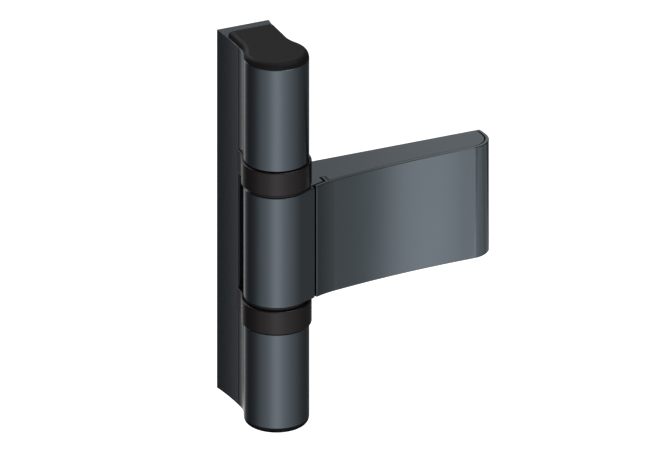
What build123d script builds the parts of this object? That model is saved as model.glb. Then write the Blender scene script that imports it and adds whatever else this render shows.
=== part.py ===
from build123d import *
from math import asin, cos, degrees, radians, sin, sqrt
import os

# Three-part door hinge, in millimetres.
# The origin is the middle of the frame leaf's back face. +Y points into the door frame, +Z is up,
# and the sash wing reaches out along +X. The hinge axis is vertical, in front of the origin.

# Pin, bushes and knuckles, as radii and walls
pin_radius = 5.0
pin_shoulder = 1.0
bush_wall = 1.5
knuckle_wall = 3.5
pin_chamfer = 0.8
axis_reach = 27.7

# Clearances
push_fit = 0.02
running_fit = 0.05
running_gap = 0.25
seat_gap = 0.3
slide_gap = 0.2

# Heights along the hinge axis
upper_knuckle_height = 37.3
lower_knuckle_height = 34.5
sash_height = 40.8
collar_height = 8.5
flange_height = 0.65

# Frame leaf's section
base_spread = 1.1
neck_inset = 2.5
neck_flare = 12.0
neck_length = 2.57
swing_clearance = 0.9
back_corner = 0.4
scribe_width = 0.45
scribe_depth = 0.4
edge_break = 0.15

# Frame leaf's fixings
screw_hole_radius = 3.25
screw_head_radius = 5.5
frame_head_depth = 6.5
frame_screw_margin = 6.4
tapped_hole_radius = 3.4
tapped_hole_depth = 13.0
tapped_hole_margin = 12.0

# Screws in the knuckles
plug_thread = 0.5
plug_length = 8.0
plug_socket = 8.0
plug_socket_depth = 4.0
plug_chamfer = 0.6
pin_lift = 3.5
bush_end_gap = 0.5
lock_radius = 2.5
lock_depth = 12.0
lock_recess = 0.6
lock_socket = 2.5
lock_socket_depth = 2.0
lock_chamfer = 0.3

# Caps
cap_inset = 0.1
cap_height = 2.1
cap_round = 1.9
cap_back_inset = 5.8
cap_corner = 1.5
cap_stub_length = 4.0
cap_stub_wall = 1.5
cap_stub_gap = 0.2
cap_space = 1.0
cap_peg_radius = 1.5
cap_peg_length = 3.0
cap_peg_setback = 6.4

# Collars and thrust washers
collar_lip = 0.8
collar_flare = 5.0
collar_round = 0.4
collar_tab_lip = 0.6
collar_tab_gap = 0.1
collar_seat = 4.0
collar_bore_gap = 0.3
washer_height = 1.0
washer_gap = 0.05
washer_width = 2.5
washer_rim_gap = 0.3

# Sash bushes
sash_bush_length = 15.0
flange_inset = 0.4
knuckle_break = 0.4

# Sash wing: a flat land leaves the knuckle, then the front sweeps out to a rounded nose
wing_reach = 80.0
wing_back_step = 0.7
wing_back_margin = 0.5
land_angle = 22.6
land_end_x = 10.6
joint_gap = 1.05
sweep_length = 7.2
sweep_angle = 9.1
nose_radius = 8.0
nose_setback = 0.6

# Cover
cover_wall = 1.1
lip_gap = 0.75
nose_gap = 0.4
rib_setback = 4.47
rib_width = 1.1
rib_length = 3.5
rib_gap = 0.4
rib_slack = 0.45
toe_width = 0.6
toe_height = 1.2
cover_break = 0.2
lip_round = 0.25

# Sash leaf's fixings and pads
sash_floor = 4.2
sash_screw_inner = 12.41
sash_screw_outer = 17.0
sash_screw_margin = 9.4
pad_length = 12.0
pad_height = 6.0
pad_thickness = 2.0
pad_offset = 10.0
pad_gap = 0.05

# Radii and levels that follow
shank_radius = pin_radius + pin_shoulder
bush_radius = shank_radius + bush_wall
knuckle_radius = bush_radius + knuckle_wall
plug_radius = bush_radius + plug_thread
neck_half = knuckle_radius - neck_inset
base_half = neck_half + base_spread
base_front = knuckle_radius + swing_clearance
neck_start = sqrt((knuckle_radius + neck_flare) ** 2 - (neck_half + neck_flare) ** 2)
taper_start = neck_start + neck_length
cap_back = axis_reach - cap_back_inset
wing_back = knuckle_radius + wing_back_step
wing_back_start = base_half + wing_back_margin

sash_space = sash_height + 2 * (flange_height + running_gap + collar_height + seat_gap)
leaf_height = upper_knuckle_height + sash_space + lower_knuckle_height
leaf_top = leaf_height / 2
leaf_bottom = -leaf_top
upper_end = leaf_top - upper_knuckle_height
lower_end = leaf_bottom + lower_knuckle_height
sash_middle = (upper_end + lower_end) / 2
sash_bottom = sash_middle - sash_height / 2
plug_bore_depth = cap_stub_length + cap_space + plug_length
upper_shoulder = leaf_top - plug_bore_depth
lower_shoulder = leaf_bottom + plug_bore_depth
upper_lock_level = upper_shoulder - lock_depth
lower_lock_level = lower_shoulder + lock_depth
flange_radius = knuckle_radius - flange_inset
flange_offset = sash_height / 2 + flange_height
washer_offset = flange_offset + washer_gap
collar_offset = flange_offset + running_gap
washer_radius = shank_radius + washer_width
frame_screw_offset = sash_height / 2 - frame_screw_margin
pin_bottom = lower_shoulder
pin_top = upper_shoulder - pin_lift


def level(height):
    """Horizontal plane at this height, with the hinge axis as its origin and y towards the frame."""
    return Plane((0, -axis_reach, height))


def across(x, y, height, direction):
    """Plane for a hole drilled against this direction; x and y are measured from the hinge axis."""
    return Plane(origin=(x, y - axis_reach, height), z_dir=direction)


def heading(angle):
    """Direction in plan that leaves the knuckle to the right, turned back by this angle."""
    return Vector(cos(radians(angle)), sin(radians(angle)))


def outward(angle):
    """Normal of the wing's front where it runs along heading(angle)."""
    return Vector(sin(radians(angle)), -cos(radians(angle)))


def knuckle_section(radius, half_width, flare, back):
    """Knuckle circle that runs through a concave flare into a neck with parallel sides."""
    flare_start = sqrt((radius + flare) ** 2 - (half_width + flare) ** 2)
    share = radius / (radius + flare)
    joint = Vector(share * (half_width + flare), share * flare_start)
    mirrored = Vector(-joint.X, joint.Y)
    with BuildLine() as outline:
        right = Line((half_width, back), (half_width, flare_start))
        TangentArc(right @ 1, joint, tangent=right % 1)
        ThreePointArc(joint, (0, -radius), mirrored)
        left = Line((-half_width, back), (-half_width, flare_start))
        TangentArc(left @ 1, mirrored, tangent=left % 1)
        Line(left @ 0, right @ 0)
    make_face(outline.edges())


# Plan points of the wing's front, from the land's tangent point on the knuckle
land_start = knuckle_radius * outward(land_angle)
land_length = (land_end_x - land_start.X) / heading(land_angle).X
land_end = land_start + land_length * heading(land_angle)
cover_edge = land_end + joint_gap * heading(land_angle)
sweep_radius = sweep_length / (sin(radians(land_angle)) - sin(radians(sweep_angle)))
sweep_centre = cover_edge + sweep_radius * outward(land_angle)
sweep_end = sweep_centre - sweep_radius * outward(sweep_angle)
front_radius = (wing_reach - nose_radius - sweep_end.X) / sin(radians(sweep_angle))


def sweep_y(x):
    """Plan y of the wing's front where it sweeps, at this x."""
    return sweep_centre.Y + sqrt(sweep_radius**2 - (x - sweep_centre.X) ** 2)


def front_y(x):
    """Plan y of the wing's long, slow front, at this x."""
    return sweep_end.Y + front_radius * outward(sweep_angle).Y + sqrt(
        front_radius**2 - (wing_reach - nose_radius - x) ** 2
    )


def wing_front(inset, reach, turn=land_angle):
    """Draws the wing's front from this heading to its nose, set back by inset; returns its two ends."""
    radius = (reach - nose_radius - sweep_end.X) / sin(radians(sweep_angle))
    crest = sweep_end + radius * (outward(sweep_angle) - outward(0))
    start = sweep_centre - (sweep_radius + inset) * outward(turn)
    bend = sweep_end - inset * outward(sweep_angle)
    nose_start = crest - inset * outward(0)
    nose_side = Vector(reach - inset, crest.Y + nose_radius)
    nose_back = Vector(reach - nose_setback - inset, wing_back)
    TangentArc(start, bend, tangent=heading(turn))
    TangentArc(bend, nose_start, tangent=heading(sweep_angle))
    TangentArc(nose_start, nose_side, tangent=(1, 0))
    TangentArc(nose_side, nose_back, tangent=(0, 1))
    return start, nose_back


def save(piece, name):
    """Labels a finished piece and writes it."""
    piece.part.label = name
    export_step(piece.part, f"parts/{name}.step")


os.makedirs("parts", exist_ok=True)

# Frame leaf: one extrusion, milled away between its knuckles
with BuildPart() as frame_leaf:
    with BuildSketch(level(leaf_bottom)) as frame_section:
        knuckle_section(knuckle_radius, neck_half, neck_flare, taper_start)
        with BuildLine():
            right = TangentArc((neck_half, taper_start), (base_half, axis_reach), tangent=(0, 1))
            left = TangentArc((-neck_half, taper_start), (-base_half, axis_reach), tangent=(0, 1))
            Line(right @ 0, left @ 0)
            Line(right @ 1, left @ 1)
        make_face()
        fillet(frame_section.vertices().group_by(Axis.Y)[-1], back_corner)
    extrude(amount=leaf_height)
    with BuildSketch(level(lower_end)):
        with Locations((0, base_front)):
            Rectangle(4 * knuckle_radius, 3 * knuckle_radius, align=(Align.CENTER, Align.MAX))
    extrude(amount=sash_space, mode=Mode.SUBTRACT)
    end_edges = frame_leaf.faces().filter_by(Axis.Z).edges().filter_by(Axis.X, reverse=True)
    chamfer(end_edges, edge_break)
    with BuildSketch(level(leaf_bottom)):
        with Locations((-neck_half, base_front), (neck_half, base_front)):
            Rectangle(2 * scribe_depth, scribe_width)
    extrude(amount=leaf_height, mode=Mode.SUBTRACT)
    with Locations(level(leaf_top)):
        Hole(bush_radius + push_fit)
    with Locations(level(leaf_top), across(0, 0, leaf_bottom, (0, 0, -1))):
        Hole(plug_radius, depth=plug_bore_depth)
    for side in (-1, 1):
        with Locations(across(0, base_front, sash_middle + side * frame_screw_offset, (0, -1, 0))):
            CounterBoreHole(screw_hole_radius, screw_head_radius, frame_head_depth)
        with Locations(across(0, axis_reach, side * (leaf_top - tapped_hole_margin), (0, 1, 0))):
            Hole(tapped_hole_radius, depth=tapped_hole_depth)
    for lock_level in (upper_lock_level, lower_lock_level):
        with Locations(across(knuckle_radius, 0, lock_level, (1, 0, 0))):
            Hole(lock_radius, depth=knuckle_radius - pin_radius)
    with Locations(across(0, cap_back - cap_peg_setback, leaf_top, (0, 0, 1))):
        Hole(cap_peg_radius + push_fit, depth=cap_peg_length + cap_stub_gap)
save(frame_leaf, "frame_leaf")

# Top cap: follows the knuckle and neck, with a tube stub in the bore and a peg in the neck
with BuildPart() as top_cap:
    with BuildSketch(level(leaf_top)) as cap_section:
        knuckle_section(
            knuckle_radius - cap_inset, neck_half - cap_inset, neck_flare + cap_inset, cap_back
        )
        fillet(cap_section.vertices().group_by(Axis.Y)[-1], cap_corner)
    extrude(amount=cap_height)
    fillet(top_cap.faces().sort_by(Axis.Z)[-1].edges(), cap_round)
    with BuildSketch(level(leaf_top)):
        Circle(plug_radius - cap_stub_gap)
        Circle(plug_radius - cap_stub_gap - cap_stub_wall, mode=Mode.SUBTRACT)
    extrude(amount=-cap_stub_length)
    with BuildSketch(level(leaf_top)):
        with Locations((0, cap_back - cap_peg_setback)):
            Circle(cap_peg_radius)
    extrude(amount=-cap_peg_length)
save(top_cap, "top_cap")

# Bottom cap: round, because the neck ends bare below
with BuildPart() as bottom_cap:
    with BuildSketch(level(leaf_bottom)):
        Circle(knuckle_radius - cap_inset)
    extrude(amount=-cap_height)
    fillet(bottom_cap.faces().sort_by(Axis.Z)[0].edges(), cap_round)
    with BuildSketch(level(leaf_bottom)):
        Circle(plug_radius - cap_stub_gap)
        Circle(plug_radius - cap_stub_gap - cap_stub_wall, mode=Mode.SUBTRACT)
    extrude(amount=cap_stub_length)
save(bottom_cap, "bottom_cap")

# Collars: the same moulding at both ends of the sash knuckle, turned over
for name, side in (("upper_collar", 1), ("lower_collar", -1)):
    with BuildPart() as collar:
        with BuildSketch(level(sash_middle + side * collar_offset)):
            knuckle_section(
                knuckle_radius + collar_lip,
                neck_half + collar_tab_lip,
                collar_flare,
                base_front - collar_tab_gap,
            )
        extrude(amount=side * collar_height)
        fillet(collar.faces().filter_by(Axis.Z).edges(), collar_round)
        with Locations(across(0, 0, sash_middle + side * collar_offset, (0, 0, -side))):
            Hole(shank_radius + collar_bore_gap)
            Hole(washer_radius + washer_rim_gap, depth=washer_offset + washer_height - collar_offset)
        with Locations(across(0, 0, sash_middle + side * (collar_offset + collar_height), (0, 0, side))):
            Hole(bush_radius + push_fit, depth=collar_seat)
    save(collar, name)

# Thrust washers, between the sash bushes' flanges and the collars
for name, side in (("upper_thrust_washer", 1), ("lower_thrust_washer", -1)):
    with BuildPart() as washer:
        with BuildSketch(level(sash_middle + side * washer_offset)):
            Circle(washer_radius)
            Circle(pin_radius + running_fit, mode=Mode.SUBTRACT)
        extrude(amount=side * washer_height)
    save(washer, name)

# Frame bushes: plain sleeves from inside the collar to near the threaded plug
frame_bushes = (
    ("upper_frame_bush", upper_end, upper_shoulder, pin_radius, upper_lock_level),
    ("lower_frame_bush", lower_end, lower_shoulder, shank_radius, lower_lock_level),
)
for name, mouth, shoulder, bore, lock_level in frame_bushes:
    inward = 1 if shoulder > mouth else -1
    with BuildPart() as frame_bush:
        with BuildSketch(level(mouth - inward * (seat_gap + collar_seat))):
            Circle(bush_radius)
            Circle(bore + push_fit, mode=Mode.SUBTRACT)
        bush_length = abs(shoulder - mouth) + seat_gap + collar_seat - bush_end_gap
        extrude(amount=inward * bush_length)
        with Locations(across(knuckle_radius, 0, lock_level, (1, 0, 0))):
            Hole(lock_radius, depth=knuckle_radius - bore / 2)
    save(frame_bush, name)

# Sash bushes: each has a flange that shows as a thin ring at the knuckle's end
for name, side in (("upper_sash_bush", 1), ("lower_sash_bush", -1)):
    with BuildPart() as sash_bush:
        with BuildSketch(level(sash_middle + side * (sash_height / 2 + flange_height))):
            Circle(flange_radius)
        extrude(amount=-side * flange_height)
        with BuildSketch(level(sash_middle + side * sash_height / 2)):
            Circle(bush_radius)
        extrude(amount=-side * sash_bush_length)
        with Locations(level(sash_middle)):
            Hole(pin_radius + running_fit)
    save(sash_bush, name)

# Hinge pin: its step carries the lower washer, and so the sash
with BuildPart() as hinge_pin:
    with BuildSketch(level(pin_bottom)):
        Circle(shank_radius)
    extrude(amount=sash_middle - washer_offset - washer_height - pin_bottom)
    with BuildSketch(level(pin_bottom)):
        Circle(pin_radius)
    extrude(amount=pin_top - pin_bottom)
    ends = hinge_pin.edges().group_by(Axis.Z)
    chamfer(ends[0] + ends[-1], pin_chamfer)
save(hinge_pin, "hinge_pin")

# Threaded plugs above and below the pin, each with a hex socket towards its cap
for name, shoulder, outward_z in (
    ("pin_stop_screw", upper_shoulder, 1),
    ("height_screw", lower_shoulder, -1),
):
    with BuildPart() as plug:
        with BuildSketch(level(shoulder)):
            Circle(plug_radius - push_fit)
        extrude(amount=outward_z * plug_length)
        chamfer(plug.edges().filter_by(GeomType.CIRCLE), plug_chamfer)
        with BuildSketch(level(shoulder + outward_z * plug_length)):
            RegularPolygon(plug_socket / 2, 6, major_radius=False)
        extrude(amount=-outward_z * plug_socket_depth, mode=Mode.SUBTRACT)
    save(plug, name)

# Grub screws that press on the pin through the bush
for name, lock_level, stop in (
    ("upper_lock_screw", upper_lock_level, pin_radius),
    ("lower_lock_screw", lower_lock_level, shank_radius),
):
    with BuildPart() as grub:
        with BuildSketch(across(stop + push_fit, 0, lock_level, (1, 0, 0))):
            Circle(lock_radius - push_fit)
        extrude(amount=knuckle_radius - lock_recess - stop - push_fit)
        chamfer(grub.edges().filter_by(GeomType.CIRCLE), lock_chamfer)
        with BuildSketch(across(knuckle_radius - lock_recess, 0, lock_level, (1, 0, 0))):
            RegularPolygon(lock_socket / 2, 6, major_radius=False)
        extrude(amount=-lock_socket_depth, mode=Mode.SUBTRACT)
    save(grub, name)

# Sash leaf: knuckle, land and the body under the cover, cut from one extrusion
shelf_inset = cover_wall + slide_gap
lip_inset = cover_wall + lip_gap
rib_middle = cover_edge.X + rib_setback + rib_width / 2
rib_turn = degrees(asin((sweep_centre.X - rib_middle) / sweep_radius))
rib_root = sweep_y(rib_middle) + cover_wall / 2
rib_tip = sweep_y(rib_middle) + cover_wall + rib_length
screw_columns = (rib_middle + sash_screw_inner, wing_reach - sash_screw_outer)
screw_rows = (-sash_height / 2 + sash_screw_margin, sash_height / 2 - sash_screw_margin)
pad_middle = (screw_columns[0] + screw_columns[1]) / 2
pad_floor = front_y(pad_middle) + cover_wall + pad_thickness

with BuildPart() as sash_leaf:
    with BuildSketch(level(sash_bottom)):
        Circle(knuckle_radius)
        with BuildLine():
            lip_start = land_end - lip_inset * outward(land_angle)
            lip_edge = cover_edge - lip_inset * outward(land_angle)
            lip_end = sweep_centre - (sweep_radius + lip_inset) * outward(rib_turn)
            Polyline(land_start, land_end, lip_start, lip_edge)
            TangentArc(lip_edge, lip_end, tangent=heading(land_angle))
            front_start, nose_end = wing_front(shelf_inset, wing_reach - nose_gap, rib_turn)
            Line(lip_end, front_start)
            Polyline(nose_end, (wing_back_start, wing_back), (0, 0), land_start)
        make_face()
        with Locations((rib_middle - rib_slack / 2, rib_root)):
            Rectangle(
                rib_width + rib_slack + 2 * rib_gap,
                rib_tip - rib_root + slide_gap,
                align=(Align.CENTER, Align.MIN),
                mode=Mode.SUBTRACT,
            )
        with Locations((nose_end.X + slide_gap + nose_gap, wing_back)):
            Rectangle(
                toe_width + slide_gap,
                toe_height + slide_gap,
                align=(Align.MAX, Align.MAX),
                mode=Mode.SUBTRACT,
            )
    extrude(amount=sash_height)
    knuckle_edges = sash_leaf.faces().filter_by(Axis.Z).edges().filter_by(GeomType.CIRCLE)
    chamfer(knuckle_edges.group_by(Axis.X)[0], knuckle_break)
    with Locations(level(sash_middle)):
        Hole(bush_radius + push_fit)
    for column in screw_columns:
        for row in screw_rows:
            with Locations(across(column, -knuckle_radius, sash_middle + row, (0, -1, 0))):
                CounterBoreHole(
                    screw_hole_radius, screw_head_radius, knuckle_radius + wing_back - sash_floor
                )
    for side in (-1, 1):
        pocket_height = pad_height + 2 * slide_gap
        with BuildSketch(level(sash_middle + side * pad_offset - pocket_height / 2)):
            with Locations((pad_middle, pad_floor + pad_gap)):
                Rectangle(
                    pad_length + 2 * slide_gap, pad_floor + knuckle_radius, align=(Align.CENTER, Align.MAX)
                )
        extrude(amount=pocket_height, mode=Mode.SUBTRACT)
save(sash_leaf, "sash_leaf")

# Cover: thin extrusion with a rib behind its edge and a toe at the end of its nose
with BuildPart() as wing_cover:
    with BuildSketch(level(sash_bottom)) as cover_section:
        with BuildLine():
            outer_start, outer_end = wing_front(0, wing_reach)
            inner_start, inner_end = wing_front(cover_wall, wing_reach)
            Line(outer_start, inner_start)
            Line(outer_end, inner_end)
        make_face()
        fillet(cover_section.vertices().sort_by_distance(cover_edge)[0], lip_round)
        with Locations((rib_middle, rib_root)):
            Rectangle(rib_width, rib_tip - rib_root, align=(Align.CENTER, Align.MIN))
        with Locations((inner_end.X + cover_wall / 2, wing_back)):
            Rectangle(toe_width + cover_wall / 2, toe_height, align=(Align.MAX, Align.MAX))
    extrude(amount=sash_height)
    cover_edges = wing_cover.faces().filter_by(Axis.Z).edges().filter_by(GeomType.CIRCLE)
    chamfer(cover_edges.group_by(Axis.Y)[0], cover_break)
save(wing_cover, "wing_cover")

# Anti-rattle pads, set in shallow pockets behind the cover
with BuildPart() as cover_pads:
    for side in (-1, 1):
        with BuildSketch(level(sash_middle + side * pad_offset - pad_height / 2)):
            with BuildLine():
                pad_start, pad_end = wing_front(cover_wall + pad_gap, wing_reach)
                Polyline(pad_end, (pad_start.X, wing_back), pad_start)
            make_face()
            with Locations((pad_middle, pad_floor)):
                Rectangle(
                    pad_length,
                    pad_floor + knuckle_radius,
                    align=(Align.CENTER, Align.MAX),
                    mode=Mode.INTERSECT,
                )
        extrude(amount=pad_height)
save(cover_pads, "cover_pads")
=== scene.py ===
import bmesh
import bpy
import math
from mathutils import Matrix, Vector

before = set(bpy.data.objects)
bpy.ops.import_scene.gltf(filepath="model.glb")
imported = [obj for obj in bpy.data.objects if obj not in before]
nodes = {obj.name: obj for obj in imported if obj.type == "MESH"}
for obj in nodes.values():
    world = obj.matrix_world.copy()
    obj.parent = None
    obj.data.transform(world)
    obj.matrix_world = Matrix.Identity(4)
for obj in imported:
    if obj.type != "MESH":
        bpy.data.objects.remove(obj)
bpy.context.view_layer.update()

scene = bpy.context.scene
print("hinge: frame loaded,", len(nodes), "solids")


def addNode(tree, kind, settings=None, inputs=None):
    # a node with its settings, and each input either linked or given a value
    node = tree.nodes.new(kind)
    for name, value in (settings or {}).items():
        setattr(node, name, value)
    for name, value in (inputs or {}).items():
        if isinstance(value, bpy.types.NodeSocket):
            tree.links.new(value, node.inputs[name])
        else:
            node.inputs[name].default_value = value
    return node


def maths(tree, operation, first, second=0.0):
    return addNode(tree, "ShaderNodeMath", {"operation": operation}, {0: first, 1: second}).outputs[0]


def spread(tree, value, low, high, fromLow=0.0, fromHigh=1.0, smooth=False):
    # a value's range moved onto another range
    kind = "SMOOTHSTEP" if smooth else "LINEAR"
    moved = addNode(tree, "ShaderNodeMapRange", {"interpolation_type": kind}, {
        "Value": value, "From Min": fromLow, "From Max": fromHigh, "To Min": low, "To Max": high})
    return moved.outputs["Result"]


def newGroup(name, inputs, outputs):
    # an empty shader group with its named sockets
    group = bpy.data.node_groups.new(name, "ShaderNodeTree")
    for label, kind, value in inputs:
        socket = group.interface.new_socket(name=label, in_out="INPUT", socket_type=kind)
        socket.default_value = value
    for label, kind in outputs:
        group.interface.new_socket(name=label, in_out="OUTPUT", socket_type=kind)
    start = group.nodes.new("NodeGroupInput")
    end = group.nodes.new("NodeGroupOutput")
    return group, start, end


def noise(tree, place, scale, detail=2.0, roughness=0.5):
    return addNode(tree, "ShaderNodeTexNoise", {"noise_dimensions": "3D"}, {
        "Vector": place, "Scale": scale, "Detail": detail, "Roughness": roughness}).outputs["Fac"]


def swing(tree, pattern, amount):
    # a pattern turned into a deviation of at most half the amount to either side of zero
    return maths(tree, "MULTIPLY", maths(tree, "SUBTRACT", pattern, 0.5), amount)


coating = {
    "cloudScale": 55,
    "grainScale": 5200,
    "lineScale": 2600,
    "lineStretch": (1, 1, 0.012),  # die lines run along the extrusion
}


# Satin coating: soft cloudy tone, fine pigment grain and the long lines left by the extrusion die
def makeCoatingGroup():
    group, start, end = newGroup("satinCoating", (
        ("Tone", "NodeSocketColor", (0.1, 0.12, 0.13, 1)),
        ("Cloud", "NodeSocketFloat", 0.06),
        ("Grain", "NodeSocketFloat", 0.08),
        ("Rough", "NodeSocketFloat", 0.45),
        ("Rough Spread", "NodeSocketFloat", 0.05),
        ("Die Lines", "NodeSocketFloat", 0.4),
    ), (
        ("Color", "NodeSocketColor"),
        ("Roughness", "NodeSocketFloat"),
        ("Height", "NodeSocketFloat"),
    ))
    place = addNode(group, "ShaderNodeTexCoord").outputs["Object"]
    along = addNode(group, "ShaderNodeMapping", None, {
        "Vector": place, "Scale": coating["lineStretch"]}).outputs[0]
    cloud = noise(group, place, coating["cloudScale"], 3)
    grain = noise(group, place, coating["grainScale"], 1)
    lines = noise(group, along, coating["lineScale"], 2, 0.6)
    cloudPart = swing(group, cloud, start.outputs["Cloud"])
    grainPart = swing(group, grain, start.outputs["Grain"])
    level = maths(group, "ADD", maths(group, "ADD", cloudPart, grainPart), 1.0)
    tone = addNode(group, "ShaderNodeVectorMath", {"operation": "SCALE"}, {
        0: start.outputs["Tone"], "Scale": level})
    roughPart = swing(group, cloud, start.outputs["Rough Spread"])
    rough = maths(group, "ADD", start.outputs["Rough"], roughPart)
    linePart = maths(group, "MULTIPLY", lines, start.outputs["Die Lines"])
    height = maths(group, "ADD", grain, linePart)
    group.links.new(tone.outputs["Vector"], end.inputs["Color"])
    group.links.new(rough, end.inputs["Roughness"])
    group.links.new(height, end.inputs["Height"])
    return group


moulded = {
    "pitSoftness": 0.6,
    "cloudScale": 90,
}


# Moulded plastic: the fine pitted skin of the mould, with a faint cloud in its roughness
def makeMouldedGroup():
    group, start, end = newGroup("mouldedSkin", (
        ("Tone", "NodeSocketColor", (0.02, 0.02, 0.02, 1)),
        ("Pit Scale", "NodeSocketFloat", 3200),
        ("Rough", "NodeSocketFloat", 0.5),
        ("Rough Spread", "NodeSocketFloat", 0.1),
        ("Tone Spread", "NodeSocketFloat", 0.15),
    ), (
        ("Color", "NodeSocketColor"),
        ("Roughness", "NodeSocketFloat"),
        ("Height", "NodeSocketFloat"),
    ))
    place = addNode(group, "ShaderNodeTexCoord").outputs["Object"]
    pits = addNode(group, "ShaderNodeTexVoronoi", {"feature": "SMOOTH_F1"}, {
        "Vector": place, "Scale": start.outputs["Pit Scale"],
        "Smoothness": moulded["pitSoftness"]}).outputs["Distance"]
    cloud = noise(group, place, moulded["cloudScale"], 3)
    level = maths(group, "ADD", swing(group, cloud, start.outputs["Tone Spread"]), 1.0)
    tone = addNode(group, "ShaderNodeVectorMath", {"operation": "SCALE"}, {
        0: start.outputs["Tone"], "Scale": level})
    rough = maths(group, "ADD", start.outputs["Rough"], swing(group, cloud, start.outputs["Rough Spread"]))
    group.links.new(tone.outputs["Vector"], end.inputs["Color"])
    group.links.new(rough, end.inputs["Roughness"])
    group.links.new(pits, end.inputs["Height"])
    return group


turned = {
    "ringStretch": (0.02, 0.02, 1),  # rings run round the vertical axis
    "filmScale": 300,
    "filmTone": 0.25,
}


# Turned steel: rings left by the tool, and a slight unevenness of the oil film
def makeTurnedGroup():
    group, start, end = newGroup("turnedSteel", (
        ("Tone", "NodeSocketColor", (0.56, 0.56, 0.55, 1)),
        ("Ring Scale", "NodeSocketFloat", 1800),
        ("Rough", "NodeSocketFloat", 0.28),
        ("Rough Spread", "NodeSocketFloat", 0.12),
    ), (
        ("Color", "NodeSocketColor"),
        ("Roughness", "NodeSocketFloat"),
        ("Height", "NodeSocketFloat"),
    ))
    place = addNode(group, "ShaderNodeTexCoord").outputs["Object"]
    across = addNode(group, "ShaderNodeMapping", None, {
        "Vector": place, "Scale": turned["ringStretch"]}).outputs[0]
    rings = noise(group, across, start.outputs["Ring Scale"], 2)
    film = noise(group, place, turned["filmScale"], 3)
    level = maths(group, "ADD", swing(group, film, turned["filmTone"]), 1.0)
    tone = addNode(group, "ShaderNodeVectorMath", {"operation": "SCALE"}, {
        0: start.outputs["Tone"], "Scale": level})
    rough = maths(group, "ADD", start.outputs["Rough"], swing(group, film, start.outputs["Rough Spread"]))
    group.links.new(tone.outputs["Vector"], end.inputs["Color"])
    group.links.new(rough, end.inputs["Roughness"])
    group.links.new(rings, end.inputs["Height"])
    return group


coatingGroup = makeCoatingGroup()
mouldedGroup = makeMouldedGroup()
turnedGroup = makeTurnedGroup()
print("hinge: shader groups made")


def makeMaterial(name, group, values, shader, bump):
    # a principled material whose colour, roughness and relief come from one shared group
    material = bpy.data.materials.new(name)
    material.use_nodes = True
    tree = material.node_tree
    tree.nodes.clear()
    effect = addNode(tree, "ShaderNodeGroup", {"node_tree": group}, values)
    relief = addNode(tree, "ShaderNodeBump", None, {
        "Height": effect.outputs["Height"], "Strength": bump["strength"], "Distance": bump["distance"]})
    body = addNode(tree, "ShaderNodeBsdfPrincipled", None, {
        "Base Color": effect.outputs["Color"], "Roughness": effect.outputs["Roughness"],
        "Normal": relief.outputs["Normal"], **shader})
    addNode(tree, "ShaderNodeOutputMaterial", None, {"Surface": body.outputs["BSDF"]})
    return material


def dress(material, *names):
    # gives CAD solids their finish
    for name in names:
        nodes[name].data.materials.clear()
        nodes[name].data.materials.append(material)


# Colours are linear, "mirror" is the specular level, and "reliefDepth" is in metres
anthracite = {
    "leaf": {"tone": (0.100, 0.120, 0.137, 1), "rough": 0.24, "lines": 0.5, "relief": 0.12},
    "cover": {"tone": (0.085, 0.102, 0.1138, 1), "rough": 0.13, "lines": 0.2, "relief": 0.05},
    "roughSpread": 0.05,
    "cloud": 0.05,
    "grain": 0.10,
    "metallic": 0.97,
    "mirror": 0.4,
    "reliefDepth": 0.00002,
}


def makeAnthracite(name, own):
    return makeMaterial(name, coatingGroup, {
        "Tone": own["tone"], "Cloud": anthracite["cloud"], "Grain": anthracite["grain"],
        "Rough": own["rough"], "Rough Spread": anthracite["roughSpread"], "Die Lines": own["lines"],
    }, {
        "Metallic": anthracite["metallic"], "Specular IOR Level": anthracite["mirror"],
    }, {"strength": own["relief"], "distance": anthracite["reliefDepth"]})


dress(makeAnthracite("anthraciteFrame", anthracite["leaf"]), "frame_leaf")
dress(makeAnthracite("anthraciteSash", anthracite["leaf"]), "sash_leaf")
dress(makeAnthracite("anthraciteCover", anthracite["cover"]), "wing_cover")

plain = (1, 1, 1, 1)
capPlastic = {
    "tone": (0.0062, 0.006, 0.0061, 1), "pits": 3600, "rough": 0.5,
    "mirror": 0.11, "tint": plain, "relief": 0.15, "reliefDepth": 0.00003,
}
collarPlastic = {
    "tone": (0.0036, 0.0023, 0.0028, 1), "pits": 4200, "rough": 0.28,
    "mirror": 0.42, "tint": (1.0, 0.92, 0.96, 1), "relief": 0.12, "reliefDepth": 0.00003,
}
bushPlastic = {
    "tone": (0.006, 0.006, 0.0065, 1), "pits": 5000, "rough": 0.45,
    "mirror": 0.4, "tint": plain, "relief": 0.08, "reliefDepth": 0.00002,
}
padRubber = {
    "tone": (0.02, 0.02, 0.02, 1), "pits": 2200, "rough": 0.75,
    "mirror": 0.3, "tint": plain, "relief": 0.2, "reliefDepth": 0.00005,
}


def makeMoulded(name, own):
    return makeMaterial(name, mouldedGroup, {
        "Tone": own["tone"], "Pit Scale": own["pits"], "Rough": own["rough"],
    }, {
        "Metallic": 0.0, "Specular IOR Level": own["mirror"], "Specular Tint": own["tint"],
    }, {"strength": own["relief"], "distance": own["reliefDepth"]})


dress(makeMoulded("capPlastic", capPlastic), "top_cap", "bottom_cap")
dress(makeMoulded("collarPlastic", collarPlastic), "upper_collar", "lower_collar")
dress(makeMoulded("bushPlastic", bushPlastic),
      "upper_frame_bush", "lower_frame_bush", "upper_sash_bush", "lower_sash_bush")
dress(makeMoulded("padRubber", padRubber), "cover_pads")

pinSteel = {
    "tone": (0.5, 0.5, 0.49, 1), "rings": 1400, "rough": 0.25, "relief": 0.15, "reliefDepth": 0.00002,
}
screwSteel = {
    "tone": (0.36, 0.36, 0.35, 1), "rings": 2400, "rough": 0.35, "relief": 0.2, "reliefDepth": 0.00003,
}


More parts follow.
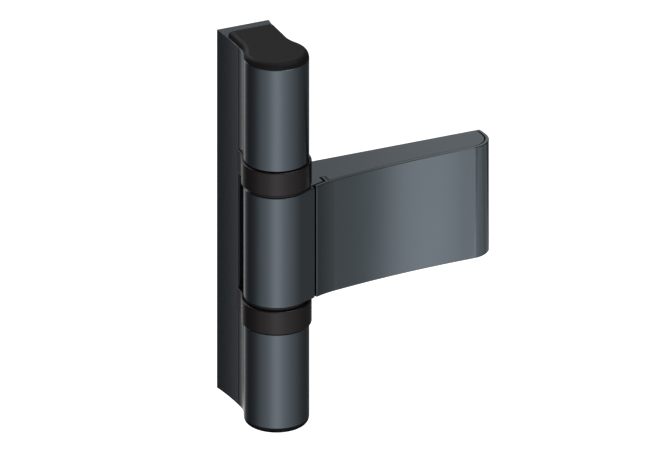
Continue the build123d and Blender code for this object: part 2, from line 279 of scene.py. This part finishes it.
def makeTurned(name, own):
    return makeMaterial(name, turnedGroup, {
        "Tone": own["tone"], "Ring Scale": own["rings"], "Rough": own["rough"],
    }, {"Metallic": 1.0}, {"strength": own["relief"], "distance": own["reliefDepth"]})


dress(makeTurned("pinSteel", pinSteel), "hinge_pin", "upper_thrust_washer", "lower_thrust_washer")
dress(makeTurned("screwSteel", screwSteel),
      "pin_stop_screw", "height_screw", "upper_lock_screw", "lower_lock_screw")
print("hinge: finishes given")

studio = {
    "cameraAzimuth": -24.0,  # degrees round from straight in front, left below zero
    "cameraElevation": 25.3,
    "pictureWidth": 0.65 / 3,  # metres across the picture
    "aimRight": 0.027455,  # metres from the frame's origin, across and up the picture
    "aimUp": -0.007173,
    "cameraDistance": 0.9,
    "clipRange": (0.01, 20),
    "floorHeight": -0.5,  # low, so that the object's shadow falls below the picture
    "floorReach": 4,
    "floorTone": 0.8,
    "floorWhite": 0.85,  # what the camera sees of it beside the lamps' light
    "nearGlint": 0.02,  # share of its mirror light left right under the hinge
    "nearDark": (0.35, 0.8),  # metres along the floor over which its mirror light comes up
    "fill": 0.25,  # even light on matt surfaces
    "glow": 1.38,  # brightest mirror light, straight in front
    "ceiling": 0.3,  # mirror light straight above
    "ceilingStart": (0.65, 0.95),  # heights of a direction between which the ceiling takes over
    "above": 0.4,  # share of the sweep's light that is left above the horizon
    "horizon": (-0.1, 0.2),  # heights of a direction between which it goes down to that share
    "glowRamp": (  # degrees round the hinge, left of the camera below zero, and how bright
        (-180, 0.82), (-162, 0.83), (-148, 0.36), (-132, 0.13), (-122, 0.075), (-112, 0.045), (-93, 0.083),
        (-79, 0.13), (-66, 0.245), (-54, 0.385), (-42, 0.475), (-31, 0.555), (-21, 0.7), (-10, 0.97),
        (0, 1.09), (9, 1.05), (18, 0.86), (30, 0.67), (42, 0.56), (58, 0.42), (76, 0.285), (94, 0.16),
        (116, 0.09), (134, 0.07), (148, 0.08), (158, 0.14), (170, 0.5), (180, 0.82)),
}


def direction(azimuth, elevation):
    # unit vector from the hinge towards a place given by azimuth and elevation in degrees
    turn = math.radians(azimuth)
    rise = math.radians(elevation)
    return Vector((math.sin(turn) * math.cos(rise), -math.cos(turn) * math.cos(rise), math.sin(rise)))


def makeCamera():
    back = direction(studio["cameraAzimuth"], studio["cameraElevation"])
    turn = math.radians(studio["cameraAzimuth"])
    right = Vector((math.cos(turn), math.sin(turn), 0))
    up = back.cross(right)
    data = bpy.data.cameras.new("camera")
    data.type = "ORTHO"
    data.ortho_scale = studio["pictureWidth"]
    data.clip_start, data.clip_end = studio["clipRange"]
    camera = bpy.data.objects.new("camera", data)
    scene.collection.objects.link(camera)
    camera.location = right * studio["aimRight"] + up * studio["aimUp"] + back * studio["cameraDistance"]
    camera.rotation_mode = "QUATERNION"
    camera.rotation_quaternion = (-back).to_track_quat("-Z", "Y")
    scene.camera = camera


# Softboxes: degrees round and up, metres from their target, size in metres, watts. Those with "only" light
# just these solids: the wing mirrors a brighter patch than the knuckles do.
lamps = (
    {"name": "frontSoftbox", "azimuth": -30, "elevation": 35, "distance": 1.1,
     "size": (0.7, 0.7), "power": 9, "target": (0, -0.03, 0), "matt": True},
    {"name": "wingSoftbox", "azimuth": 29.15, "elevation": -25.3, "distance": 0.42,
     "size": (0.0415, 0.24), "power": 0.0445, "target": (0.06, -0.0283, 0), "only": ("wing_cover",)},
    {"name": "noseSoftbox", "azimuth": 68, "elevation": -25.3, "distance": 0.027,
     "size": (0.0415, 0.1), "power": 0.0047, "target": (0.077, -0.026, 0), "only": ("wing_cover",)},
    {"name": "bendSoftbox", "azimuth": 49, "elevation": -25.3, "distance": 0.027,
     "size": (0.02, 0.1), "power": 0.0011, "target": (0.074, -0.0275, 0), "only": ("wing_cover",)},
    {"name": "wingTopSoftbox", "azimuth": 156, "elevation": 25.3, "distance": 0.5,
     "size": (0.056, 0.1), "power": 0.0075, "target": (0.072, -0.022, 0.019),
     "only": ("wing_cover", "sash_leaf")},
    {"name": "topSoftbox", "azimuth": 60, "elevation": 70, "distance": 1.1,
     "size": (0.8, 0.6), "power": 4, "target": (0, 0, 0)},
    {"name": "backSoftbox", "azimuth": 190, "elevation": 35, "distance": 1.2,
     "size": (0.8, 0.8), "power": 4, "target": (0, 0, 0)},
)


def makeLamps():
    for lamp in lamps:
        data = bpy.data.lights.new(lamp["name"], "AREA")
        data.shape = "RECTANGLE"
        data.size, data.size_y = lamp["size"]
        data.energy = lamp["power"]
        light = bpy.data.objects.new(lamp["name"], data)
        scene.collection.objects.link(light)
        towards = direction(lamp["azimuth"], lamp["elevation"])
        light.location = Vector(lamp["target"]) + towards * lamp["distance"]
        light.rotation_mode = "QUATERNION"
        light.rotation_quaternion = (-towards).to_track_quat("-Z", "Y")
        light.visible_camera = False
        light.visible_glossy = not lamp.get("matt", False)  # a matt lamp leaves no white patch on the coating
        if "only" in lamp:
            lit = bpy.data.collections.new(lamp["name"] + "Reach")
            for name in lamp["only"]:
                lit.objects.link(nodes[name])
            light.light_linking.receiver_collection = lit


# The studio sweep that mirror rays see: bright in front, dim at the sides, pale behind
def makeSweepGroup():
    group, start, end = newGroup("sweepGlow", (
        ("Direction", "NodeSocketVector", (0, 0, 1)),
    ), (
        ("Level", "NodeSocketFloat"),
    ))
    front = direction(studio["cameraAzimuth"], 0)
    right = Vector((-front.y, front.x, 0))
    shares = []
    for axis in (right, front):
        shares.append(addNode(group, "ShaderNodeVectorMath", {"operation": "DOT_PRODUCT"}, {
            0: start.outputs["Direction"], 1: axis}).outputs["Value"])
    angle = maths(group, "ARCTAN2", shares[0], shares[1])
    level = 0.0
    for low, high in ((-180, 0), (0, 180)):  # one ramp for each side
        ramp = addNode(group, "ShaderNodeValToRGB", None, {
            "Fac": spread(group, angle, 0.0, 1.0, math.radians(low), math.radians(high))})
        band = ramp.color_ramp
        steps = [step for step in studio["glowRamp"] if low <= step[0] <= high]
        while len(band.elements) < len(steps):
            band.elements.new(0.5)
        for element, (degrees, glow) in zip(band.elements, steps):
            element.position = (degrees - low) / (high - low)
            element.color = (glow, glow, glow, 1)
        side = maths(group, "GREATER_THAN", angle, 0.0)
        if low < 0:
            side = maths(group, "SUBTRACT", 1.0, side)
        level = maths(group, "ADD", level, maths(group, "MULTIPLY", ramp.outputs["Color"], side))
    group.links.new(maths(group, "MULTIPLY", level, studio["glow"]), end.inputs["Level"])
    return group


sweepGroup = makeSweepGroup()


def seenRays(tree):
    # what a camera ray sees, and what a mirror or glass ray sees
    path = addNode(tree, "ShaderNodeLightPath")
    return path.outputs["Is Camera Ray"], maths(
        tree, "MAXIMUM", path.outputs["Is Glossy Ray"], path.outputs["Is Transmission Ray"])


def makeWorld():
    world = bpy.data.worlds.new("studioWorld")
    scene.world = world
    world.use_nodes = True
    tree = world.node_tree
    tree.nodes.clear()
    camera, mirror = seenRays(tree)
    place = addNode(tree, "ShaderNodeTexCoord").outputs["Generated"]
    sweep = addNode(tree, "ShaderNodeGroup", {"node_tree": sweepGroup}, {"Direction": place}).outputs["Level"]
    height = addNode(tree, "ShaderNodeSeparateXYZ", None, {0: place}).outputs["Z"]
    high = spread(tree, height, 0.0, 1.0, *studio["ceilingStart"], True)
    share = spread(tree, height, 1.0, studio["above"], *studio["horizon"], True)
    dimmed = maths(tree, "MULTIPLY", sweep, share)
    level = addNode(tree, "ShaderNodeMix", {"data_type": "FLOAT"}, {
        0: high, 2: dimmed, 3: studio["ceiling"]}).outputs[0]
    shown = maths(tree, "MAXIMUM", camera, maths(tree, "MULTIPLY", mirror, level))
    seen = maths(tree, "MAXIMUM", camera, mirror)
    fill = addNode(tree, "ShaderNodeBackground", None, {"Color": (1, 1, 1, 1), "Strength": studio["fill"]})
    white = addNode(tree, "ShaderNodeBackground", None, {"Color": (1, 1, 1, 1), "Strength": shown})
    mix = addNode(tree, "ShaderNodeMixShader", None, {0: seen, 1: fill.outputs[0], 2: white.outputs[0]})
    addNode(tree, "ShaderNodeOutputWorld", None, {"Surface": mix.outputs[0]})


def makeFloor():
    shape = bmesh.new()
    bmesh.ops.create_grid(shape, x_segments=1, y_segments=1, size=studio["floorReach"])
    mesh = bpy.data.meshes.new("floor")
    shape.to_mesh(mesh)
    shape.free()
    floor = bpy.data.objects.new("floor", mesh)
    floor.location.z = studio["floorHeight"]
    scene.collection.objects.link(floor)
    material = bpy.data.materials.new("paleFloor")
    material.use_nodes = True
    tree = material.node_tree
    tree.nodes.clear()
    camera, mirror = seenRays(tree)
    place = addNode(tree, "ShaderNodeTexCoord").outputs["Object"]
    sweep = addNode(tree, "ShaderNodeGroup", {"node_tree": sweepGroup}, {"Direction": place}).outputs["Level"]
    away = addNode(tree, "ShaderNodeVectorMath", {"operation": "LENGTH"}, {0: place}).outputs["Value"]
    comingUp = spread(tree, away, studio["nearGlint"], 1.0, *studio["nearDark"], True)
    glint = maths(tree, "MULTIPLY", sweep, comingUp)
    white = maths(tree, "MULTIPLY", camera, studio["floorWhite"])
    glow = maths(tree, "MAXIMUM", white, maths(tree, "MULTIPLY", mirror, glint))
    tone = maths(tree, "MULTIPLY", maths(tree, "SUBTRACT", 1.0, mirror), studio["floorTone"])
    matt = addNode(tree, "ShaderNodeBsdfDiffuse", None, {"Color": tone})
    shine = addNode(tree, "ShaderNodeEmission", None, {"Color": (1, 1, 1, 1), "Strength": glow})
    both = addNode(tree, "ShaderNodeAddShader", None, {0: matt.outputs[0], 1: shine.outputs[0]})
    addNode(tree, "ShaderNodeOutputMaterial", None, {"Surface": both.outputs[0]})
    mesh.materials.append(material)


makeCamera()
makeLamps()
makeWorld()
makeFloor()
scene.view_settings.view_transform = "Standard"
print("hinge: studio set")
